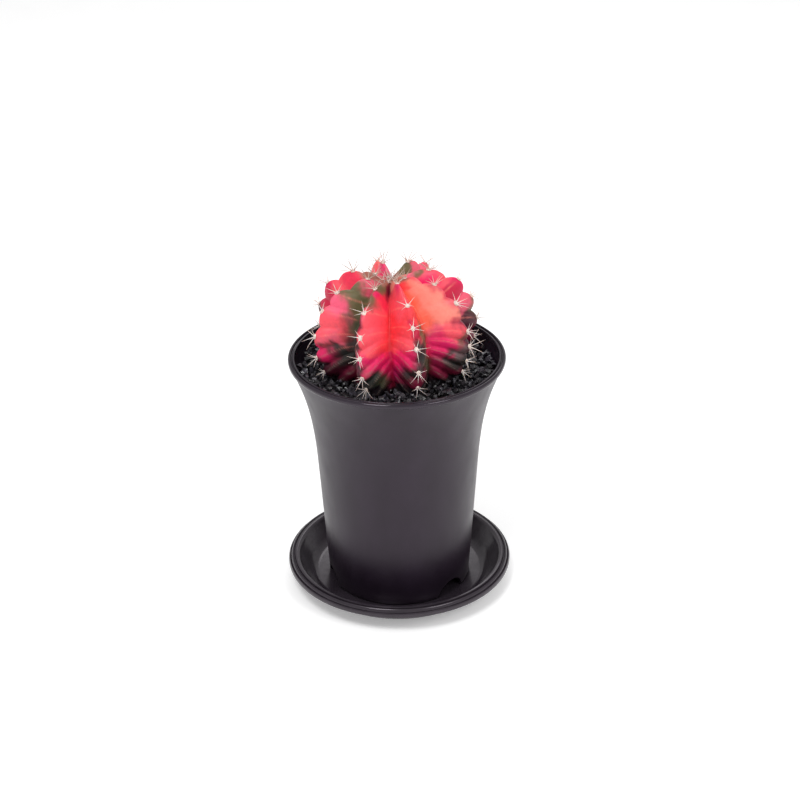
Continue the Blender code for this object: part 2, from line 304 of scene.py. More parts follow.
def mix_node(tree, blend, first, second):
    mix = tree.nodes.new("ShaderNodeMix")
    mix.data_type = "RGBA"
    mix.blend_type = blend
    mix.inputs["Factor"].default_value = 1.0
    tree.links.new(first, mix.inputs["A"])
    tree.links.new(second, mix.inputs["B"])
    return mix.outputs["Result"]


def painted(tree, layer, pattern, dark, light):
    """The mesh's own paint, shaded by a pattern between two pairs of place and brightness."""
    colour = tree.nodes.new("ShaderNodeVertexColor")
    colour.layer_name = layer
    shade = ramp_node(tree, pattern, [(place, grey(value)) for place, value in (dark, light)])
    return mix_node(tree, "MULTIPLY", colour.outputs["Color"], shade)


def dusted(tree, base, scale, brightness):
    """Adds fine pale specks of dust to a colour."""
    dust = noise_node(tree, scale, 3.0)
    specks = ramp_node(tree, dust, [(0.70, grey(0.0)), (0.80, grey(brightness))])
    return mix_node(tree, "ADD", base, specks)


def add_bumps(tree, shader, layers):
    """Chains bumps, each a height, a strength and a distance in metres."""
    normal = None
    for height, strength, distance in layers:
        bump = tree.nodes.new("ShaderNodeBump")
        bump.inputs["Strength"].default_value = strength
        bump.inputs["Distance"].default_value = distance
        tree.links.new(height, bump.inputs["Height"])
        if normal:
            tree.links.new(normal, bump.inputs["Normal"])
        normal = bump.outputs["Normal"]
    feed(shader, "Normal", normal)


def pot_material():
    """Satin black moulded plastic: fine grain, a little dust, a polished lip with a dull top, and a
    lighter painted sheen on the lip.
    """
    made, tree, shader = new_material("pot_plastic", (0.024, 0.017, 0.025), 0.36)
    shader.inputs["Specular Tint"].default_value = (1.0, 0.90, 1.0, 1.0)
    shine = by_height(tree, RIM_Z - 0.35 * MM, RIM_Z - 0.10 * MM, 0.40, 0.22)
    feed(shader, "Specular IOR Level", shine)
    haze = noise_node(tree, 90.0, 4.0, (1.0, 1.0, 0.5))
    base = ramp_node(tree, haze, [(0.30, (0.010, 0.006, 0.011)), (0.72, (0.016, 0.010, 0.018))])
    dusty = dusted(tree, base, 2600.0, 0.035)
    # Painted sheen: the colour gets lighter towards the lip's top, standing in for the shine it
    # catches.
    painted_lip_sheen = by_height(tree, RIM_Z - 2.2 * MM, RIM_Z - 1.2 * MM, 0.0, 0.009)
    feed(shader, "Base Color", mix_node(tree, "ADD", dusty, painted_lip_sheen))
    rub = noise_node(tree, 140.0, 5.0, (1.0, 1.0, 0.6))
    satin = spread_node(tree, rub, 0.32, 0.42)
    share = tree.nodes.new("ShaderNodeMath")
    share.operation = "MULTIPLY"
    tree.links.new(satin, share.inputs[0])
    polish = by_height(tree, RIM_Z - 2.4 * MM, RIM_Z - 1.4 * MM, 1.0, 0.25)
    tree.links.new(polish, share.inputs[1])
    feed(shader, "Roughness", share.outputs["Value"])
    grain = noise_node(tree, 1800.0, 3.0)
    wave = noise_node(tree, 60.0, 2.0, (1.0, 1.0, 0.6))
    add_bumps(tree, shader, [(wave, 0.25, 0.0006), (grain, 0.25, 0.00006)])
    return made


def saucer_material():
    """Glossy black plastic with fine scratches."""
    made, tree, shader = new_material("saucer_plastic", (0.016, 0.012, 0.016), 0.24)
    shader.inputs["Specular Tint"].default_value = (1.0, 0.92, 1.0, 1.0)
    haze = noise_node(tree, 120.0, 4.0)
    base = ramp_node(tree, haze, [(0.30, (0.018, 0.014, 0.019)), (0.75, (0.027, 0.021, 0.028))])
    feed(shader, "Base Color", dusted(tree, base, 2200.0, 0.015))
    rub = noise_node(tree, 260.0, 5.0, (1.0, 1.0, 4.0))
    feed(shader, "Roughness", spread_node(tree, rub, 0.12, 0.25))
    wave = noise_node(tree, 110.0, 2.0)
    add_bumps(tree, shader, [(wave, 0.25, 0.0004)])
    return made


def soil_material():
    """Dark crumbly potting mix."""
    made, tree, shader = new_material("potting_mix", (0.03, 0.018, 0.012), 0.95)
    crumbs = noise_node(tree, 420.0, 6.0)
    crumb = (0.035, 0.021, 0.013)
    stops = [(0.30, (0.010, 0.007, 0.005)), (0.55, crumb), (0.75, (0.085, 0.052, 0.030))]
    base = ramp_node(tree, crumbs, stops)
    feed(shader, "Base Color", base)
    fibres = noise_node(tree, 900.0, 4.0, (1.0, 0.3, 1.0))
    add_bumps(tree, shader, [(crumbs, 0.9, 0.0012), (fibres, 0.6, 0.0005)])
    return made


def stone_material():
    """Crushed black stone: each stone has its own tone, with pale flecks painted into the colour as
    glints.
    """
    made, tree, shader = new_material("black_stone", (0.02, 0.02, 0.023), 0.45)
    patch = noise_node(tree, 700.0, 5.0)
    base = painted(tree, "stone_tone", patch, (0.30, 0.55), (0.70, 1.45))
    # Painted glints: pale specks added to the stones' colour.
    fleck = noise_node(tree, 2400.0, 2.0)
    painted_glint = ramp_node(tree, fleck, [(0.63, grey(0.0)), (0.72, (0.13, 0.13, 0.15))])
    feed(shader, "Base Color", mix_node(tree, "ADD", base, painted_glint))
    feed(shader, "Roughness", spread_node(tree, patch, 0.12, 0.45))
    grain = noise_node(tree, 1500.0, 5.0)
    add_bumps(tree, shader, [(patch, 0.6, 0.0004), (grain, 0.5, 0.00015)])
    return made


def skin_material():
    """Waxy skin. The body's paint gives its colour, with painted highlights and painted shade in it,
    and fine mottling and pores its grain.
    """
    made, tree, shader = new_material("cactus_skin", (0.80, 0.09, 0.13), 0.40)
    mottle = noise_node(tree, 900.0, 5.0)
    base = painted(tree, "skin_colour_and_painted_light", mottle, (0.28, 0.94), (0.72, 1.08))
    feed(shader, "Base Color", base)
    feed(shader, "Roughness", spread_node(tree, mottle, 0.34, 0.52))
    shader.inputs["Specular IOR Level"].default_value = 0.32
    shader.inputs["Subsurface Weight"].default_value = 0.12
    shader.inputs["Subsurface Radius"].default_value = (1.0, 0.35, 0.25)
    shader.inputs["Subsurface Scale"].default_value = 0.0016
    pores = noise_node(tree, 2600.0, 3.0)
    folds = noise_node(tree, 420.0, 3.0)
    add_bumps(tree, shader, [(folds, 0.35, 0.0004), (pores, 0.25, 0.00008)])
    return made


def spine_material():
    """Horny spines and the wool they grow from, coloured along each hair."""
    made, tree, shader = new_material("spine", (0.80, 0.68, 0.48), 0.45)
    streak = noise_node(tree, 1500.0, 3.0)
    base = painted(tree, "hair_colour", streak, (0.30, 0.82), (0.70, 1.12))
    feed(shader, "Base Color", base)
    feed(shader, "Roughness", spread_node(tree, streak, 0.38, 0.58))
    shader.inputs["Subsurface Weight"].default_value = 0.25
    shader.inputs["Subsurface Radius"].default_value = (1.0, 0.7, 0.5)
    shader.inputs["Subsurface Scale"].default_value = 0.0008
    return made


def floor_material():
    """White paper with a faint glow of its own."""
    made, tree, shader = new_material("studio_floor", (0.90, 0.90, 0.90), 0.60)
    paper = noise_node(tree, 30.0, 2.0)
    shade = ramp_node(tree, paper, [(0.3, grey(0.93)), (0.7, grey(0.95))])
    feed(shader, "Base Color", shade)
    shader.inputs["Emission Color"].default_value = (1.0, 1.0, 1.0, 1.0)
    shader.inputs["Emission Strength"].default_value = 0.26
    return made


# Studio


def build_camera():
    data = bpy.data.cameras.new("studio_camera")
    data.lens = LENS_MM
    data.sensor_width = 36.0
    data.clip_start = 0.01
    camera = bpy.data.objects.new("studio_camera", data)
    bpy.context.scene.collection.objects.link(camera)
    rise = math.radians(CAMERA_ELEVATION)
    away = Vector((0.0, -math.cos(rise), math.sin(rise)))
    camera.location = CAMERA_TARGET + away * CAMERA_DISTANCE
    look = (-away).to_track_quat("-Z", "Y")
    roll = Quaternion((0.0, 0.0, 1.0), math.radians(CAMERA_ROLL))
    camera.rotation_mode = "QUATERNION"
    camera.rotation_quaternion = look @ roll
    bpy.context.scene.camera = camera


def area_light(name, place, aim, size, power):
    data = bpy.data.lights.new(name, "AREA")
    data.shape = "DISK"
    data.size = size
    data.energy = power
    light = bpy.data.objects.new(name, data)
    bpy.context.scene.collection.objects.link(light)
    light.location = place
    light.rotation_euler = (aim - light.location).to_track_quat("-Z", "Y").to_euler()


def build_studio():
    """Pale surroundings, a key from the front left, a fill, a back light and a pale floor."""
    scene = bpy.context.scene
    scene.view_settings.view_transform = "Standard"
    world = bpy.data.worlds.new("white_studio")
    world.use_nodes = True
    sky = world.node_tree.nodes["Background"]
    sky.inputs["Color"].default_value = (1.0, 1.0, 1.0, 1.0)
    sky.inputs["Strength"].default_value = 0.63
    scene.world = world
    middle = Vector((0.0, 0.0, 0.09))
    area_light("key", Vector((-0.22, -0.42, 0.90)), middle, 0.34, 3.7)
    area_light("fill", Vector((0.45, -0.45, 0.60)), middle, 0.34, 1.6)
    area_light("back", Vector((0.10, 0.60, 0.70)), middle, 0.50, 1.2)

    mesh = bpy.data.meshes.new("studio_floor")
    bench = bmesh.new()
    bmesh.ops.create_grid(bench, x_segments=8, y_segments=8, size=3.0)
    bench.to_mesh(mesh)
    bench.free()
    floor = add_object("studio_floor", mesh, floor_material())


# Pot and saucer


def turned(name, profile, closed, finish):
    """A profile of (radius, height) points turned about the upright axis."""
    edges = [(i, i + 1) for i in range(len(profile) - 1)]
    if closed:
        edges.append((len(profile) - 1, 0))
    mesh = bpy.data.meshes.new(name)
    mesh.from_pydata([(r, 0.0, z) for r, z in profile], edges, [])
    obj = add_object(name, mesh, finish)
    screw = obj.modifiers.new("turn", "SCREW")
    screw.axis = "Z"
    screw.steps = TURN_STEPS
    screw.render_steps = TURN_STEPS
    screw.use_merge_vertices = True
    screw.merge_threshold = 0.00001
    screw.use_smooth_shade = True
    return obj


def offsets(radius, height, pairs):
    """Points of a profile, given in millimetres outward from a radius and down from a height."""
    return [(radius + out * MM, height - drop * MM) for out, drop in pairs]


def settle(obj):
    """Replaces the object's mesh by what its modifiers make of it."""
    graph = bpy.context.evaluated_depsgraph_get()
    made = bpy.data.meshes.new_from_object(obj.evaluated_get(graph))
    obj.modifiers.clear()
    obj.data = made


def sharpen(obj, degrees):
    """Smooth shading, with a crisp edge wherever two faces meet at more than the angle."""
    obj.data.shade_smooth()
    obj.data.set_sharp_from_angle(angle=math.radians(degrees))


def pot_outer_radius(height):
    """Radius of the pot's outside at a height above its base: a taper, then a cubic flare."""
    flare_top = POT_HEIGHT - LIP_ROUND
    flare = RIM_RADIUS - POT_BASE_RADIUS - POT_TAPER * flare_top
    rise = max(0.0, (height - (flare_top - FLARE_HEIGHT)) / FLARE_HEIGHT)
    return POT_BASE_RADIUS + POT_TAPER * height + flare * rise**3


def pot_inner_radius(height):
    return min(pot_outer_radius(height) - POT_WALL, RIM_RADIUS - LIP_WIDTH)


def pot_profile():
    """Grooved lip with its undercut, outer wall, foot, floor with a hole, and inner wall."""
    top = POT_HEIGHT
    groove = RIM_RADIUS - GROOVE_INSET
    profile = offsets(groove, top, [(0.0, 1.05), (0.26, 0.95), (0.38, 0.16)])
    for i in range(9):
        turn = 0.5 * math.pi * i / 8
        radius = RIM_RADIUS - LIP_ROUND * (1.0 - math.sin(turn))
        profile.append((radius, top - LIP_ROUND * (1.0 - math.cos(turn))))
    profile += offsets(RIM_RADIUS, top, [(-0.02, 1.5), (-0.15, 1.9)])
    profile += offsets(RIM_RADIUS - LIP_STEP, top, [(0.0, 2.1)])
    levels = np.linspace(top - 2.3 * MM, 0.6 * MM, 64)
    for height in levels:
        step = LIP_STEP * float(smooth(top - 9.0 * MM, top - 2.3 * MM, height))
        profile.append((min(pot_outer_radius(height), RIM_RADIUS) - 0.5 * step, height))
    foot = POT_BASE_RADIUS
    profile += [(foot - 0.2 * MM, 0.15 * MM), (foot - 0.6 * MM, 0.0)]
    skirt = foot - POT_WALL
    profile += [(skirt, 0.0), (skirt, FLOOR_RAISE)]
    profile += [(DRAIN_HOLE_RADIUS, FLOOR_RAISE), (DRAIN_HOLE_RADIUS, FLOOR_TOP)]
    inner = np.linspace(FLOOR_TOP, POT_HEIGHT - 0.7 * MM, 48)
    profile += [(pot_inner_radius(h), h) for h in inner]
    lip = RIM_RADIUS - LIP_WIDTH
    profile += offsets(lip, top, [(0.04, 0.42), (0.16, 0.16), (0.42, 0.05), (0.70, 0.09)])
    profile += offsets(groove, top, [(-0.36, 0.30), (-0.24, 0.95)])
    return [(r, POT_BASE_Z + z) for r, z in profile]


def notch_cutter(bearing, finish):
    """A round bar along the radius, which cuts an arch out of the pot's foot."""
    mesh = bpy.data.meshes.new("notch_cutter")
    bar = bmesh.new()
    bmesh.ops.create_cone(
        bar,
        cap_ends=True,
        segments=64,
        radius1=NOTCH_RADIUS,
        radius2=NOTCH_RADIUS,
        depth=2.0 * NOTCH_REACH + POT_WALL,
    )
    bar.to_mesh(mesh)
    bar.free()
    cutter = add_object("notch_cutter", mesh, finish)
    cutter.rotation_euler = (math.radians(90.0), 0.0, math.radians(bearing))
    cutter.location = on_bearing(bearing, POT_BASE_RADIUS, POT_BASE_Z - NOTCH_SINK)
    return cutter


def build_pot(finish):
    pot = turned("flared_pot", pot_profile(), True, finish)
    settle(pot)
    for bearing in NOTCH_BEARINGS:
        cutter = notch_cutter(bearing, finish)
        boolean = pot.modifiers.new("notch", "BOOLEAN")
        boolean.operation = "DIFFERENCE"
        boolean.solver = "EXACT"
        boolean.object = cutter
        settle(pot)
        bpy.data.objects.remove(cutter)
    sharpen(pot, 40.0)
    declare(pot, "pot_plastic", "pot")


def saucer_profile():
    """Floor, dish wall, three rounded ridges, skirt, underside and foot ring."""
    floor = SAUCER_FLOOR_RADIUS
    profile = [(0.0, SAUCER_FLOOR), (0.5 * floor, SAUCER_FLOOR)]
    wall = [(-1.0, 0.0), (-0.1, -0.15), (0.8, -0.6), (3.0, -3.0)]
    profile += offsets(floor, SAUCER_FLOOR, wall)
    profile += offsets(SAUCER_RADIUS, SAUCER_HEIGHT, SAUCER_RIM)
    profile += offsets(floor, 0.0, [(3.6, -2.4), (1.6, -0.2), (1.3, 0.0)])
    profile += [
        (floor + 1.6 * MM - FOOT_WIDTH, 0.0),
        (floor + 1.0 * MM - FOOT_WIDTH, FOOT_RECESS),
        (0.0, FOOT_RECESS),
    ]
    return profile


def build_saucer(finish):
    saucer = turned("ridged_saucer", saucer_profile(), False, finish)
    settle(saucer)
    sharpen(saucer, 50.0)
    declare(saucer, "saucer_plastic", "saucer")


# Cactus body


def body_stations():
    """(crest radius, crest height, valley radius, valley height) from crown to root tip."""
    valley = BODY_RADIUS - RIB_DEPTH
    neck = 0.20 * BODY_RADIUS
    globe = [
        (0.0, 0.930, 0.0, 0.930),
        (0.17, 0.975, 0.18, 0.905),
        (0.36, 1.0, 0.38, 0.850),
        (0.56, 0.957, 0.60, 0.760),
        (0.74, 0.885, 0.80, 0.645),
        (0.89, 0.725, 0.94, 0.510),
        (0.98, 0.515, 1.0, 0.370),
        (0.985, 0.300, 1.0, 0.210),
        (0.91, 0.120, 0.96, 0.060),
    ]
    base = [
        (0.79, -0.04, 0.87, -0.10),
        (0.60, -0.25, 0.72, -0.27),
        (0.38, -0.40, 0.50, -0.42),
    ]
    root = [
        (neck * 1.2, -0.60 * ROOT_DEPTH, neck * 1.2, -0.60 * ROOT_DEPTH),
        (neck, -0.88 * ROOT_DEPTH, neck, -0.88 * ROOT_DEPTH),
        (0.0, -ROOT_DEPTH, 0.0, -ROOT_DEPTH),
    ]
    globe = np.array(globe) * (BODY_RADIUS, BODY_HEIGHT, valley, BODY_HEIGHT)
    base = np.array(base) * (BODY_RADIUS, ROOT_DEPTH, valley, ROOT_DEPTH)
    return np.concatenate([globe, base, root])


STATIONS = body_stations()


def station_rows(place):
    """Catmull-Rom interpolation between the stations, for an array of places."""
    place = np.asarray(place, float)
    last = len(STATIONS) - 1
    i = np.clip(place.astype(int), 0, last - 1)
    f = (place - i)[..., None]
    p0, p1, p2, p3 = (STATIONS[np.clip(i + k, 0, last)] for k in (-1, 0, 1, 2))
    return 0.5 * (
        2.0 * p1
        + (p2 - p0) * f
        + (2.0 * p0 - 5.0 * p1 + 4.0 * p2 - p3) * f**2
        + (3.0 * p1 - p0 - 3.0 * p2 + p3) * f**3
    )


WALK_PLACES = np.linspace(0.0, LAST_STATION, 1401)
WALK_ROWS = station_rows(WALK_PLACES)
WALK_STEPS = np.hypot(np.diff(WALK_ROWS[:, 0]), np.diff(WALK_ROWS[:, 1]))
WALK_LENGTHS = np.concatenate([[0.0], np.cumsum(WALK_STEPS)])


def chin_table():
    """For each rib, a number at each walked place that is whole at the areoles."""
    rows = []
    for _, areoles in RIBS:
        lengths = [-8.0, *areoles, areoles[-1] + 8.0, 100.0]
        numbers = [0.0, *range(1, len(areoles) + 2), len(areoles) + 4.0]
        rows.append(np.interp(WALK_LENGTHS, np.array(lengths) * MM, numbers))
    return np.array(rows)


CHIN_TABLE = chin_table()


def chin_number(place, rib):
    """The table's number at stations on a rib."""
    spot = np.clip(place, 0.0, LAST_STATION) / LAST_STATION * (len(WALK_PLACES) - 1)
    low = np.minimum(spot.astype(int), len(WALK_PLACES) - 2)
    share = spot - low
    return CHIN_TABLE[rib, low] * (1.0 - share) + CHIN_TABLE[rib, low + 1] * share


def leaned(x, y, z):
    """Leans points over and moves them to where the plant stands in the gravel."""
    share = np.clip(1.0 + z / LEAN_FADE, 0.0, 1.0)
    lean_x = BODY_LEAN[0] * share
    lean_y = BODY_LEAN[1] * share
    drop = lean_x * x + lean_y * y
    return np.stack(
        [x + BODY_SHIFT[0] + lean_x * z, y + BODY_SHIFT[1] + lean_y * z, z + GRAVEL_Z - drop],
        axis=-1,
    )


def crease_number(u, t):
    """Chin number on a flank: the creases run from each areole up towards the valley."""
    near = np.round(u)
    rib = near.astype(int) % len(RIB_BEARINGS)
    from_crest = 2.0 * np.abs(u - near)
    climb = np.sin(0.5 * math.pi * np.clip(from_crest, 0.0, 1.0)) ** 1.6
    lift = (0.75 + 1.25 * smooth(3.5, 8.0, t)) * (0.5 * climb + 0.5 * from_crest**1.3)
    return chin_number(t + lift, rib)


def lower_third(t):
    """Share of the folded lower third of the body."""
    return smooth(5.2, 7.2, t) * (1.0 - smooth(8.8, 9.6, t))


def wrinkle(u, number):
    """Folds on and between the creases, from -1 to 1, with narrow crests."""
    sway = 0.12 * np.sin(5.0 * u + 2.0 * number) + 0.07 * np.sin(17.0 * u + 3.3 * number)
    main = np.cos(2.0 * math.pi * (number + sway))
    extra = np.cos(2.0 * math.pi * (2.0 * (number + sway) + 0.1))
    uneven = 0.5 + 0.5 * np.sin(11.0 * u + 4.1 * number)
    wave = 0.5 + 0.5 * (0.60 * main + 0.40 * extra * uneven)
    return 2.0 * wave**2.4 - 1.0


def dents(u, t):
    """Shallow uneven dents all over the body, from -1 to 1."""
    around = 2.0 * math.pi * u / len(RIB_BEARINGS)
    broad = np.sin(17.0 * around + 1.9 * t) * np.sin(3.1 * t - 9.0 * around)
    small = np.sin(41.0 * around - 3.7 * t) * np.sin(5.3 * t + 29.0 * around)
    return 0.65 * broad + 0.35 * small


def rib_turn(u):
    """Turn round the body in radians, even from each rib's bearing to the next one's."""
    ribs = len(RIB_BEARINGS)
    near = np.round(u)
    offset = u - near
    rib = near.astype(int) % ribs
    to_next = (RIB_BEARINGS[(rib + 1) % ribs] - RIB_BEARINGS[rib]) % 360.0
    to_last = (RIB_BEARINGS[rib] - RIB_BEARINGS[(rib - 1) % ribs]) % 360.0
    return np.radians(RIB_BEARINGS[rib] + offset * np.where(offset > 0.0, to_next, to_last))


def outline(t, from_crest):
    """Radius and height of the plain ribs, from the crest's profile to the valley's."""
    rows = station_rows(t)
    sharp = 1.0 - from_crest**1.35
    to_crest = (np.sqrt(sharp**2 + VALLEY_ROUND**2) - VALLEY_ROUND) / (
        math.sqrt(1.0 + VALLEY_ROUND**2) - VALLEY_ROUND
    )
    radius = rows[..., 2] + (rows[..., 0] - rows[..., 2]) * to_crest
    return radius, rows[..., 3] + (rows[..., 1] - rows[..., 3]) * to_crest


def relief(u, t, from_crest):
    """How far the skin stands out from the plain ribs.

    Every rib swells under each areole into a chin, with a crease below it, and the
    creases of the lower third wrinkle.
    """
    number = crease_number(u, t)
    along = (number - CHIN_DROP + 0.5) % 1.0 - 0.5
    swell = 1.0 - np.abs(2.0 * along) ** 2.2
    fade = smooth(0.6, 2.5, t) * (1.0 - smooth(8.6, 9.6, t))
    lower = lower_third(t)
    to_valley = 1.0 - smooth(0.66, 1.0, from_crest)
    on_flank = (0.35 * MM + FOLD_HEIGHT * lower) * from_crest * to_valley
    size = (CHIN_HEIGHT * (1.0 - from_crest) ** 1.2 + on_flank) * fade
    proud = size * (swell - 0.80)
    flank = np.sin(math.pi * np.clip(from_crest, 0.0, 1.0)) ** 0.6
    patchy = 0.55 + 0.45 * np.sin(6.3 * u + 1.7 * number) * np.sin(7.7 * u - 2.3 * number)
    proud += WRINKLE_HEIGHT * wrinkle(u, number) * patchy * (0.15 + 0.85 * lower) * flank * fade
    return proud + DENT_DEPTH * dents(u, t) * fade


def body_surface(u, t):
    """Points of the body at rib numbers u round it and stations t down it."""
    u = np.asarray(u, float)
    t = np.asarray(t, float)
    turn = rib_turn(u)
    from_crest = 2.0 * np.abs(u - np.round(u))
    radius, height = outline(t, from_crest)
    above = station_rows(np.clip(t - 0.02, 0.0, LAST_STATION))
    below = station_rows(np.clip(t + 0.02, 0.0, LAST_STATION))
    run = below[..., 0] - above[..., 0]
    fall = below[..., 1] - above[..., 1]
    length = np.hypot(run, fall) + 1e-12
    proud = relief(u, t, from_crest)
    radius = radius - fall / length * proud
    height = height + run / length * proud
    return leaned(radius * np.sin(turn), -radius * np.cos(turn), height)


# Colours of the skin, as the eye sees them, from 0 to 255
TINTS = {
    "wool": (164, 104, 90),
    "peach": (250, 140, 124),
    "orange": (250, 112, 88),
    "coral": (243, 82, 96),
    "scarlet": (240, 62, 72),
    "red": (232, 48, 80),
    "rose": (230, 90, 114),
    "pink": (238, 90, 122),
    "hot_pink": (226, 30, 98),
    "crimson": (196, 26, 66),
    "berry": (152, 26, 68),
    "magenta": (168, 18, 84),
    "wine": (112, 16, 48),
    "maroon": (70, 14, 34),
    "olive": (104, 96, 66),
    "green": (70, 76, 54),
    "slate": (104, 80, 82),
    "dark": (40, 40, 38),
    "black": (30, 22, 27),
}

# Dabs of each tint on the skin: rib number, station, reach round the rib, reach down it
DABS = {
    "wool": (
        (-0.1, 1.2, 0.3, 0.5), (1.0, 1.0, 0.2, 0.5), (2.9, 0.9, 0.25, 0.5), (7.1, 1.7, 0.15, 0.4),
    ),
    "peach": (
        (1.85, 1.2, 0.2, 0.5), (2.8, 2.2, 0.15, 0.5), (2.8, 3.7, 0.2, 0.6), (2.85, 4.8, 0.15, 0.5),
        (3.9, 0.8, 0.25, 0.4),
    ),
    "orange": ((2.55, 2.8, 0.1, 0.7), (2.6, 4.3, 0.12, 0.6), (5.75, 3.2, 0.25, 0.8)),
    "coral": (
        (0.12, 5.2, 0.2, 0.6), (1.22, 3.8, 0.2, 0.6), (1.15, 4.8, 0.2, 0.6), (1.15, 5.6, 0.15, 0.5),
        (1.7, 2.8, 0.2, 0.6), (1.85, 3.6, 0.15, 0.6), (1.78, 5.6, 0.15, 0.4), (2.1, 2.6, 0.15, 0.6),
        (2.85, 5.6, 0.15, 0.4), (3.2, 2.0, 0.2, 0.8), (3.95, 3.4, 0.15, 0.4), (4.2, 2.4, 0.25, 0.8),
        (5.3, 3.2, 0.25, 0.8), (5.75, 5.0, 0.25, 0.7), (6.25, 3.0, 0.25, 0.7), (6.75, 2.8, 0.2, 0.7),
        (7.22, 3.6, 0.15, 0.4),
    ),
    "scarlet": (
        (1.45, 4.4, 0.12, 1.0), (1.34, 5.6, 0.12, 0.5), (1.6, 4.4, 0.15, 0.8), (1.8, 4.9, 0.15, 0.5),
        (2.15, 4.1, 0.15, 0.6), (2.65, 1.5, 0.12, 0.4), (4.7, 4.8, 0.25, 0.7),
    ),
    "red": ((1.3, 2.7, 0.15, 0.5), (7.2, 2.8, 0.2, 0.6)),
    "rose": (
        (0.15, 1.8, 0.25, 0.5), (0.2, 5.7, 0.12, 0.3), (0.9, 4.0, 0.1, 0.4), (1.1, 6.8, 0.08, 0.25),
        (2.66, 5.0, 0.12, 0.5), (3.2, 4.0, 0.2, 0.8), (3.9, 2.5, 0.12, 0.3), (3.85, 5.4, 0.15, 0.3),
        (4.7, 3.2, 0.25, 0.7), (6.8, 1.2, 0.2, 0.4), (7.6, 2.2, 0.2, 0.6),
    ),
    "pink": (
        (0.1, 4.1, 0.2, 0.5), (3.8, 1.4, 0.2, 0.3), (5.25, 4.9, 0.25, 0.7), (5.8, 1.5, 0.2, 0.6),
    ),
    "hot_pink": (
        (0.1, 6.8, 0.12, 0.35), (1.14, 2.7, 0.07, 0.22), (1.2, 6.4, 0.25, 0.4), (1.42, 6.8, 0.15, 0.5),
        (1.95, 2.2, 0.12, 0.4), (1.72, 6.4, 0.22, 0.45), (2.62, 6.1, 0.16, 0.8), (2.8, 6.4, 0.12, 0.3),
        (3.8, 2.9, 0.15, 0.5), (4.25, 4.2, 0.25, 0.7), (5.7, 6.5, 0.25, 0.6), (6.2, 1.5, 0.2, 0.5),
        (6.75, 4.6, 0.25, 0.6), (7.65, 3.8, 0.2, 0.6),
    ),
    "crimson": (
        (2.08, 5.2, 0.1, 0.4), (3.0, 3.8, 0.08, 0.5), (3.78, 4.3, 0.2, 0.4), (4.7, 6.4, 0.25, 0.6),
        (6.25, 6.4, 0.25, 0.6), (7.2, 4.9, 0.2, 0.5),
    ),
    "berry": ((1.45, 7.9, 0.12, 0.7), (2.62, 7.2, 0.12, 0.5)),
    "magenta": ((0.7, 7.3, 0.15, 0.5), (1.62, 7.2, 0.15, 0.5)),
    "wine": (
        (0.4, 8.0, 0.15, 0.6), (0.8, 4.8, 0.15, 0.5), (1.4, 1.6, 0.12, 0.7), (1.85, 7.9, 0.15, 0.4),
        (2.15, 7.6, 0.15, 0.5), (2.78, 8.2, 0.15, 0.4), (3.1, 5.6, 0.15, 0.6), (3.8, 7.5, 0.25, 0.6),
        (4.25, 7.2, 0.25, 0.7), (5.3, 8.0, 0.3, 0.7), (6.75, 6.2, 0.25, 0.6), (7.65, 5.4, 0.2, 0.7),
    ),
    "maroon": (
        (0.15, 7.8, 0.2, 0.5), (3.2, 7.2, 0.2, 0.7), (3.8, 6.2, 0.2, 0.5), (4.75, 8.0, 0.3, 0.7),
        (5.75, 8.0, 0.3, 0.7), (7.2, 6.2, 0.25, 0.6),
    ),
    "olive": (
        (0.1, 2.9, 0.25, 0.6), (0.35, 3.0, 0.15, 0.7), (0.75, 1.5, 0.15, 0.6), (0.8, 3.0, 0.15, 0.7),
        (1.1, 2.0, 0.15, 0.5), (1.06, 3.2, 0.08, 0.3), (2.3, 5.2, 0.15, 0.6), (3.95, 1.8, 0.12, 0.3),
        (3.65, 5.2, 0.1, 0.5), (4.2, 5.8, 0.2, 0.6), (4.75, 1.6, 0.25, 0.6), (5.3, 6.4, 0.25, 0.6),
        (6.25, 4.8, 0.22, 0.6),
    ),
    "green": (
        (0.42, 4.2, 0.12, 0.6), (0.65, 5.0, 0.12, 0.8), (1.1, 3.6, 0.1, 0.35), (1.32, 7.6, 0.12, 0.5),
        (2.35, 7.0, 0.15, 0.6), (2.88, 6.3, 0.08, 0.3), (3.35, 5.6, 0.15, 0.8), (5.25, 1.6, 0.2, 0.6),
    ),
    "slate": ((2.92, 6.9, 0.08, 0.3),),
    "dark": (
        (0.4, 5.4, 0.15, 0.5), (0.24, 6.2, 0.12, 0.3), (0.34, 6.8, 0.18, 0.6), (0.8, 6.0, 0.15, 0.6),
        (0.85, 7.6, 0.15, 0.6), (1.1, 7.2, 0.15, 0.5), (1.92, 7.0, 0.12, 0.4), (1.8, 7.2, 0.12, 0.35),
        (2.15, 6.2, 0.15, 0.5), (2.82, 7.1, 0.1, 0.35), (2.9, 7.5, 0.12, 0.5),
    ),
    "black": (
        (0.2, 9.0, 0.3, 0.6), (0.75, 8.7, 0.25, 0.6), (1.2, 8.7, 0.25, 0.5), (1.7, 8.7, 0.25, 0.5),
        (2.3, 8.6, 0.25, 0.6), (2.7, 8.9, 0.25, 0.4), (3.3, 8.6, 0.3, 0.6), (3.8, 8.8, 0.3, 0.6),
        (4.3, 8.8, 0.3, 0.6), (6.25, 8.0, 0.3, 0.7), (6.75, 8.2, 0.3, 0.8), (7.25, 8.0, 0.3, 0.8),
        (7.65, 7.4, 0.25, 0.8),
    ),
}
CROWN_TINT = "wool"
# Colour painted as a highlight on the folds' crests and on the creases low on the body, from 0 to 255
RIDGE_HIGHLIGHT_GREY = (150, 132, 124)
# Share of red, green and blue taken off the skin at the bottom of a valley: painted shade
VALLEY_SHADE = (0.22, 0.50, 0.50)


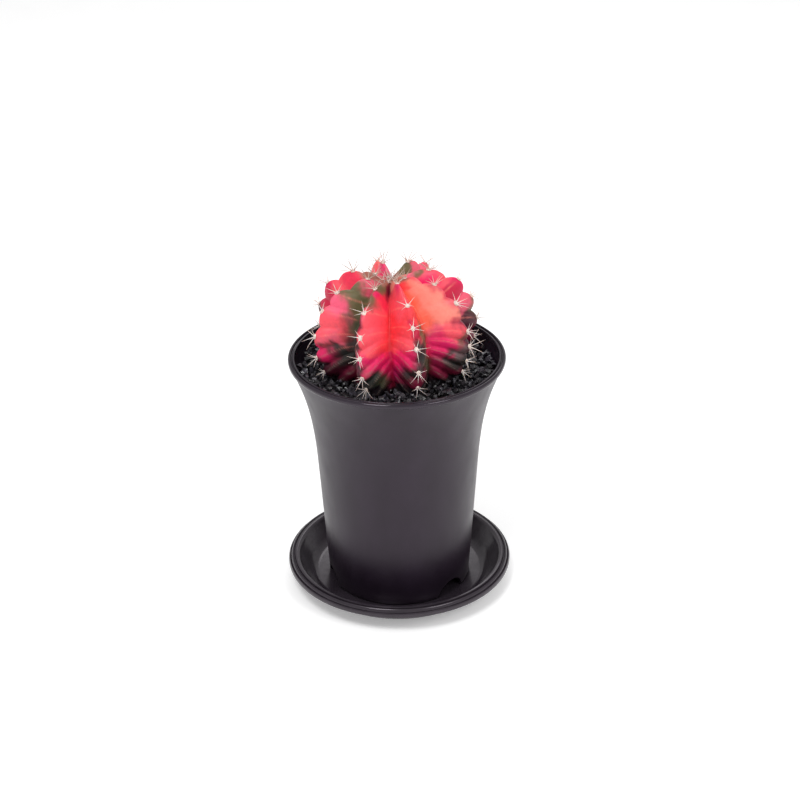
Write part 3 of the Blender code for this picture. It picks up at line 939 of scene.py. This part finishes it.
def dabbed(u, t):
    """The dabs' colours, each weighted by how near it is."""
    ribs = len(RIB_BEARINGS)
    total = np.full(u.shape, 1e-6)
    colour = np.zeros((*u.shape, 3))
    for tint, dabs in DABS.items():
        for place_u, place_t, reach_u, reach_t in dabs:
            apart = (u - place_u + 0.5 * ribs) % ribs - 0.5 * ribs
            far = (apart / reach_u) ** 2 + ((t - place_t) / reach_t) ** 2
            weight = np.exp(-1.6 * far) + 1e-5 / (1.0 + far) ** 2
            total += weight
            colour += weight[..., None] * linear(TINTS[tint])
    return colour / total[..., None]


def blended(colour, tint, share):
    return colour + (linear(TINTS[tint]) - colour) * share[..., None]


def skin_colours_and_painted_light(u, t, points):
    """Linear colour of the skin at each vertex, with painted highlights on creases and folds and
    painted shade in the valleys.
    """
    drift_u = scatter(points, 170.0, 1)
    drift_t = scatter(points, 170.0, 2)
    fine = scatter(points, 620.0, 3)
    warp_u = 0.10 * drift_u + 0.03 * fine
    warp_t = 0.45 * drift_t + 0.16 * fine
    colour = dabbed(u + warp_u, t + warp_t)

    near = np.round(u)
    from_crest = 2.0 * np.abs(u - near)
    number = crease_number(u, t)
    part = number - np.floor(number)
    to_crease = np.minimum(part, 1.0 - part)
    flank = smooth(0.05, 0.30, from_crest)
    meet = 1.0 - smooth(0.72, 0.98, from_crest)
    # Painted highlights: pale lines along the creases, peach high on the body and grey lower down, as
    # on raised ridges catching light.
    crease_highlight = (1.0 - smooth(0.015, 0.065, to_crease)) * flank * meet * smooth(2.0, 3.5, t)
    upper = 1.0 - smooth(6.0, 6.8, t)
    colour = blended(colour, "peach", (0.34 + 0.3 * fine) * crease_highlight * upper)
    # Painted highlights on the crests of the folds in the lower third.
    fold_highlight = smooth(0.35, 0.95, wrinkle(u, number)) * flank * meet * lower_third(t)
    share = 0.62 * np.maximum(crease_highlight * (1.0 - upper), 0.9 * fold_highlight) * (0.6 + 0.7 * fine)
    colour = colour + (linear(RIDGE_HIGHLIGHT_GREY) - colour) * np.clip(share, 0.0, 1.0)[..., None]

    # Painted shade: darker and redder towards the bottom of each valley.
    valley = smooth(0.78, 1.0, from_crest)
    colour = colour * (1.0 - valley[..., None] * np.array(VALLEY_SHADE))
    crown = 1.0 - smooth(0.5, 1.3, t + 0.3 * drift_t)
    colour = blended(colour, CROWN_TINT, crown * (0.75 + 0.5 * fine))
    root = smooth(9.3, 10.5, t)
    return blended(colour, "olive", root)


def body_grid():
    """Rib numbers round the body and stations down it, closer together at the crests."""
    columns = COLUMNS_PER_RIB * len(RIB_BEARINGS)
    around = np.arange(columns) / COLUMNS_PER_RIB
    around = around - 0.035 * np.sin(4.0 * math.pi * around)
    above = np.linspace(0.0, BURIED_STATION, ROWS_ABOVE + 1)[1:]
    below = np.linspace(BURIED_STATION, LAST_STATION, ROWS_BELOW + 1)[1:-1]
    return np.meshgrid(around, np.concatenate([above, below]))


def build_body(finish):
    u, t = body_grid()
    rows, columns = u.shape
    grid = body_surface(u, t).reshape(-1, 3)
    ends = body_surface(np.zeros(2), np.array([0.0, LAST_STATION]))
    crown = len(grid)
    last = crown - columns
    verts = np.concatenate([grid, ends])
    faces = []
    for k in range(columns):
        m = (k + 1) % columns
        faces += [(crown, k, m), (crown + 1, last + m, last + k)]
    for row in range(rows - 1):
        faces += band(row * columns, (row + 1) * columns, columns)
    mesh = smooth_mesh("ribbed_body", verts.tolist(), faces)
    flat_u = np.concatenate([u.ravel(), [0.0, 0.0]])
    flat_t = np.concatenate([t.ravel(), [0.0, LAST_STATION]])
    paint(mesh, "skin_colour_and_painted_light", skin_colours_and_painted_light(flat_u, flat_t, verts))
    body = add_object("ribbed_body", mesh, finish)
    declare(body, "cactus_skin", "cactus_body")
    return body


# Spines

WOOL_TINT = linear((244, 222, 210))
OLD_SPINE_TINTS = (linear((255, 244, 238)), linear((206, 176, 164)))
YOUNG_SPINE_TINTS = (linear((222, 194, 178)), linear((84, 62, 56)))


def close_rings(parts, first, rings, sides):
    """Faces of rings of vertices that lie over each other, with a tip above and a flat foot."""
    verts, faces, _ = parts
    tip = len(verts) - 1
    for ring in range(rings):
        for k in range(sides):
            m = (k + 1) % sides
            here = first + ring * sides
            there = here + sides
            if ring < rings - 1:
                faces.append((here + k, here + m, there + m, there + k))
            else:
                faces.append((here + k, here + m, tip))
    faces.append(tuple(first + k for k in reversed(range(sides))))


def hair_tube(parts, base, aim, bend, length, width, tints, sides=5, steps=7):
    """Adds one tapered hair, which leaves base along aim and curves towards bend."""
    verts, _, colours = parts
    first = len(verts)
    side = aim.orthogonal().normalized()
    across = aim.cross(side).normalized()
    root_tint, tip_tint = tints
    for step in range(steps):
        share = step / steps
        centre = base + aim * (length * share) + bend * (length * share * share)
        radius = 0.5 * width * (1.0 - share) ** 0.6
        for k in range(sides):
            turn = 2.0 * math.pi * k / sides
            offset = side * math.cos(turn) + across * math.sin(turn)
            verts.append(centre + offset * radius)
            colours.append(root_tint + (tip_tint - root_tint) * share)
    verts.append(base + aim * length + bend * length)
    colours.append(tip_tint)
    close_rings(parts, first, steps, sides)


def wool_pad(parts, base, outward, down, size, chance):
    """Adds a low felted cushion, longer down the rib than across it."""
    verts, _, colours = parts
    first = len(verts)
    side = outward.cross(down).normalized()
    rings = 5
    sides = 12
    for ring in range(rings):
        lift = 0.5 * math.pi * ring / rings
        for k in range(sides):
            turn = 2.0 * math.pi * k / sides
            reach = size * math.cos(lift) * chance.uniform(0.88, 1.12)
            flat = side * math.cos(turn) * reach + down * math.sin(turn) * reach * 1.25
            rise = outward * (0.62 * size * math.sin(lift) - 0.25 * size)
            verts.append(base + flat + rise)
            colours.append(WOOL_TINT * chance.uniform(0.86, 1.06))
    verts.append(base + outward * 0.40 * size)
    colours.append(WOOL_TINT)
    close_rings(parts, first, rings, sides)


def spine_tints(length):
    """Root and tip tints of spines at a distance from the crown: brown near it, then pale."""
    age = float(smooth(14.0, 30.0, length))
    pairs = zip(YOUNG_SPINE_TINTS, OLD_SPINE_TINTS)
    return [young + (old - young) * age for young, old in pairs]


def add_areole(parts, base, outward, down, size, spines, length, spine_colours, chance):
    """Adds one areole: its cushion of wool, short hairs in it, and a star of spines."""
    side = outward.cross(down).normalized()
    wool_pad(parts, base, outward, down, size, chance)
    for _ in range(WOOL_HAIRS):
        turn = chance.uniform(0.0, 2.0 * math.pi)
        reach = size * math.sqrt(chance.random())
        root = base + side * math.cos(turn) * reach + down * math.sin(turn) * reach
        lean = side * math.cos(turn) + down * math.sin(turn)
        aim = (outward + lean * chance.uniform(0.2, 1.0)).normalized()
        tints = (WOOL_TINT * 0.95, WOOL_TINT)
        hair = size * chance.uniform(0.5, 0.95)
        hair_tube(parts, root, aim, lean * 0.2, hair, WOOL_HAIR_WIDTH, tints, 3, 3)
    start = chance.uniform(0.0, 2.0 * math.pi)
    for k in range(spines):
        turn = start + 2.0 * math.pi * (k + chance.uniform(-0.25, 0.25)) / spines
        lean = side * math.cos(turn) + down * math.sin(turn)
        rise = chance.uniform(0.55, 1.25)
        aim = (lean + outward * rise).normalized()
        bend = -outward * chance.uniform(0.02, 0.22) + lean * chance.uniform(-0.1, 0.1)
        size_here = length * chance.uniform(0.75, 1.15)
        if math.sin(turn) < -0.4:
            size_here *= 0.8
        root = base + lean * size * 0.35
        hair_tube(parts, root, aim, bend, size_here, SPINE_WIDTH, spine_colours)
    if spines > 5:
        aim = (outward + down * chance.uniform(-0.2, 0.5)).normalized()
        hair_tube(parts, base, aim, down * 0.1, length * 0.9, SPINE_WIDTH, spine_colours)


def frame_at(u, t):
    """Point, outward direction and downward direction on the body's surface."""
    step_u = 0.03
    step_t = 0.12
    places_u = np.array([u, u - step_u, u + step_u, u, u])
    places_t = np.array([t, t, t, t - step_t, t + step_t])
    here, left, right, up, low = body_surface(places_u, places_t)
    down = Vector(low - up).normalized()
    across = Vector(right - left).normalized()
    return Vector(here), down.cross(across).normalized(), down


def hair_object(name, parts, finish, *nodes):
    verts, faces, colours = parts
    mesh = smooth_mesh(name, verts, faces)
    paint(mesh, "hair_colour", np.array(colours))
    hairs = add_object(name, mesh, finish)
    declare(hairs, "spine", *nodes)


def build_spine_rows(finish, chance):
    """One piece for each rib's areoles."""
    for rib, (_, areoles) in enumerate(RIBS):
        parts = ([], [], [])
        for length in areoles:
            place = float(np.interp(length * MM, WALK_LENGTHS, WALK_PLACES))
            base, outward, down = frame_at(float(rib), place)
            low = float(smooth(48.0, 66.0, length))
            young = 1.0 - float(smooth(14.0, 30.0, length))
            reach = chance.uniform(5.9, 6.9) * (1.0 - 0.22 * low + 0.12 * young) * MM
            size = (0.90 - 0.10 * low) * MM
            spines = chance.choice((5, 6, 6)) + round(0.6 * young)
            tints = spine_tints(length)
            add_areole(parts, base, outward, down, size, spines, reach, tints, chance)
        nodes = [f"spines_rib{rib + 1}_{row + 1}" for row in range(len(areoles))]
        hair_object(f"spine_row_{rib + 1}", parts, finish, *nodes)


def build_crown_spines(finish, chance):
    """The young areoles, which crowd in a spiral round the crown."""
    parts = ([], [], [])
    for k in range(CROWN_AREOLES):
        turn = GOLDEN_ANGLE * k
        t = 0.12 + 0.85 * math.sqrt(k / CROWN_AREOLES)
        u = (turn / (2.0 * math.pi) * len(RIB_BEARINGS)) % len(RIB_BEARINGS)
        base, outward, down = frame_at(u, t)
        outward = (outward + Vector((0.0, 0.0, 1.0))).normalized()
        add_areole(parts, base, outward, down, 0.6 * MM, 4, 5.8 * MM, spine_tints(22.0), chance)
    hair_object("crown_spines", parts, finish)


# Planting


def socket_radius(depth):
    """Radius of the root's socket at a depth below the mix's top: a neck, then a wide mouth."""
    rise = max(0.0, 1.0 - depth / MOUTH_DEPTH)
    return NECK_RADIUS + (MOUTH_RADIUS - NECK_RADIUS) * rise**1.5


def soil_profile():
    """Rows of radius, height, lump and lean towards the plant: top, pot's wall, then socket."""
    top = SOIL_TOP_Z
    low = POT_BASE_Z + FLOOR_TOP + 1.4 * MM
    profile = []
    for step in range(12):
        share = step / 11
        reach = pot_inner_radius(top - POT_BASE_Z) - 0.6 * MM - MOUTH_RADIUS
        profile.append((MOUTH_RADIUS + reach * share, top - 0.5 * MM, 0.35 * MM, 1.0 - share))
    for height in np.linspace(top - 1.2 * MM, low, 30):
        wall = pot_inner_radius(height - POT_BASE_Z) - 0.6 * MM
        profile.append((wall, height, 0.15 * MM, 0.0))
    profile.append((NECK_RADIUS, low, 0.15 * MM, 1.0))
    for depth in np.linspace(MOUTH_DEPTH, 1.2 * MM, 7):
        profile.append((socket_radius(depth), top - depth, 0.15 * MM, 1.0))
    return profile


def build_soil(finish):
    """Crumbly potting mix up to the stones, with a socket for the root."""
    chance = random.Random(5)
    columns = 144
    profile = soil_profile()
    verts = []
    for radius, height, lump, lean in profile:
        for k in range(columns):
            turn = 2.0 * math.pi * k / columns
            here = radius - chance.uniform(0.0, lump)
            up = height + chance.uniform(-lump, lump)
            x = BODY_SHIFT[0] * lean + here * math.cos(turn)
            verts.append((x, BODY_SHIFT[1] * lean + here * math.sin(turn), up))
    faces = []
    for row in range(len(profile)):
        faces += band(row * columns, (row + 1) % len(profile) * columns, columns)
    soil = add_object("crumbly_mix", smooth_mesh("crumbly_mix", verts, faces), finish)
    declare(soil, "potting_mix", "potting_mix")


def near_body(body):
    """A tree of the body's vertices near the gravel, with their normals."""
    close = [v for v in body.data.vertices if abs(v.co.z - GRAVEL_Z) < NEAR_GRAVEL]
    tree = kdtree.KDTree(len(close))
    for i, vert in enumerate(close):
        tree.insert(vert.co, i)
    tree.balance()
    return tree, [v.normal.copy() for v in close]


def stone_limit(x, reach):
    """Height that the stones stay under: they bank up towards the wall, most on the left."""
    bank = float(smooth(30.0 * MM, 40.0 * MM, reach))
    left = float(smooth(10.0 * MM, -40.0 * MM, x))
    return GRAVEL_Z + STONE_TOP + bank * (1.2 * MM + 1.4 * MM * left)


def resting_height(spots, x, y, radius):
    """Height of a new stone's middle where it comes to rest on the bed or on other stones."""
    bed = SOIL_TOP_Z + STONE_BED + radius
    flat = np.hypot(spots[:, 0] - x, spots[:, 1] - y)
    touch = STONE_NESTLE * (spots[:, 3] + radius)
    near = flat < touch
    if not near.any():
        return bed
    rise = np.sqrt(touch[near] ** 2 - flat[near] ** 2)
    return max(bed, float((spots[near, 2] + rise).max()))


def drop_stones(body, chance):
    """Places for stones that lie on each other between the body and the pot's wall.

    Each stone tries several spots and settles in the lowest one.
    """
    tree, normals = near_body(body)
    spots = np.zeros((0, 4))
    misses = 0
    while len(spots) < STONE_COUNT and misses < STONE_MISSES:
        radius = chance.uniform(*STONE_SIZES)
        best = None
        for _ in range(STONE_TRIES):
            turn = chance.uniform(0.0, 2.0 * math.pi)
            reach = math.sqrt(chance.uniform(STONE_NEAREST**2, RIM_RADIUS**2))
            x = reach * math.cos(turn)
            y = reach * math.sin(turn)
            z = resting_height(spots, x, y, radius)
            if z + radius > stone_limit(x, reach):
                continue
            if reach + radius > pot_inner_radius(z - POT_BASE_Z) - STONE_WALL_GAP:
                continue
            co, index, gap = tree.find((x, y, z))
            outside = normals[index].dot(Vector((x, y, z)) - co)
            if outside < 0.0 or gap < STONE_STAND_OFF * radius:
                continue
            if best is None or z < best[2]:
                best = (x, y, z, radius)
        if best is None:
            misses += 1
            continue
        misses = 0
        spots = np.vstack([spots, best])
    return spots


def stone_hull(stones, spot, chance):
    """Adds one angular stone: the hull of points scattered on a stretched, turned ball."""
    x, y, z, radius = spot
    stretch = Vector((1.0, chance.uniform(0.72, 1.0), chance.uniform(0.6, 0.9)))
    turn = Quaternion(
        Vector([chance.uniform(-1.0, 1.0) for _ in range(3)]).normalized(),
        chance.uniform(0.0, math.pi),
    )
    points = []
    for _ in range(STONE_CORNERS):
        aim = Vector([chance.gauss(0.0, 1.0) for _ in range(3)]).normalized()
        scaled = Vector([a * s for a, s in zip(aim, stretch)]) * radius * 1.22
        points.append(Vector((x, y, z)) + turn @ (scaled * chance.uniform(0.78, 1.0)))
    verts = [stones.verts.new(p) for p in points]
    hull = bmesh.ops.convex_hull(stones, input=verts)
    loose = [v for v in hull["geom_interior"] if isinstance(v, bmesh.types.BMVert)]
    bmesh.ops.delete(stones, geom=loose, context="VERTS")


def build_gravel(body, finish):
    """The top dressing of crushed black stones, each with its own tone."""
    chance = random.Random(7)
    stones = bmesh.new()
    tones = []
    for spot in drop_stones(body, chance):
        before = len(stones.verts)
        stone_hull(stones, spot, chance)
        tone = chance.uniform(*STONE_TONES)
        if chance.random() < PALE_STONES:
            tone *= PALE_GAIN
        cast = np.array([1.05, 0.94, chance.uniform(1.02, 1.30)])
        tones += [tone * cast] * (len(stones.verts) - before)
    mesh = bpy.data.meshes.new("crushed_stone")
    stones.to_mesh(mesh)
    stones.free()
    mesh.shade_flat()
    paint(mesh, "stone_tone", np.array(tones))
    gravel = add_object("crushed_stone", mesh, finish)
    declare(gravel, "black_stone", "gravel_dressing")


def main():
    build_camera()
    build_studio()
    build_pot(pot_material())
    build_saucer(saucer_material())
    build_soil(soil_material())
    body = build_body(skin_material())
    spine = spine_material()
    chance = random.Random(21)
    build_spine_rows(spine, chance)
    build_crown_spines(spine, chance)
    build_gravel(body, stone_material())
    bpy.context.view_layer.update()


main()
